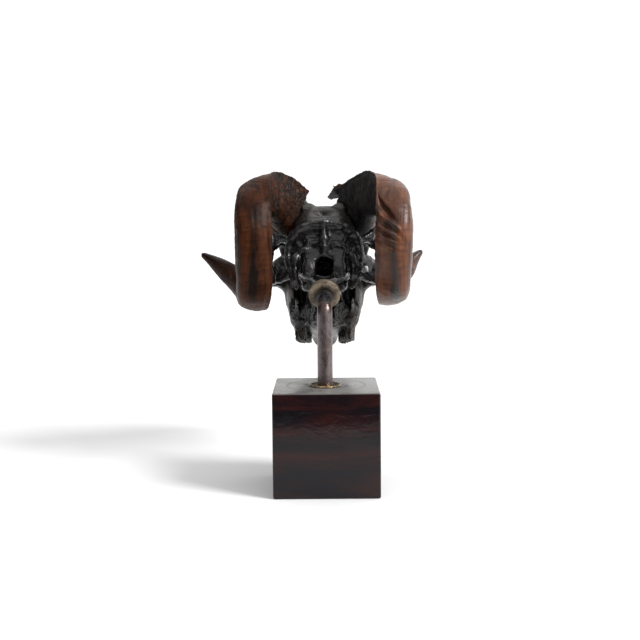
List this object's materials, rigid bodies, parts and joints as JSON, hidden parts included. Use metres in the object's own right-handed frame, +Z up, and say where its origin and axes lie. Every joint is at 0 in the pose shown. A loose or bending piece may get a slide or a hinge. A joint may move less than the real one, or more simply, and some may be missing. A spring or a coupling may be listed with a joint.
{
  "type": "ram skull on display stand",
  "caption": "Ram skull with curled horns, displayed nose down on a bent metal rod that rises from a square lacquered wood block.",
  "frame": {"origin": "centre of the wood block's underside", "axes": "+Z up, +Y towards the muzzle, +X towards the animal's right side"},
  "size_m": [0.2489, 0.3023, 0.3344],
  "materials": {
    "bone": "dark patinated bone, semi-gloss",
    "horn": "aged brown horn, satin",
    "lacquered_wood": "ebonised mahogany, high gloss lacquer",
    "bronzed_steel": "brown patinated, worn",
    "brass": "aged brass"
  },
  "bodies": {
    "root": {"skull_braincase": "bone", "skull_forehead": "bone", "skull_nose": "bone", "skull_upper_jaw": "bone", "skull_mouth_tip": "bone", "skull_cheek_left": "bone", "skull_cheek_right": "bone", "horn_left": "horn", "horn_right": "horn", "stand_block": "lacquered_wood", "stand_foot_ring": "brass", "stand_rod": "bronzed_steel", "stand_mount_plate": "brass"}
  },
  "joints": []
}
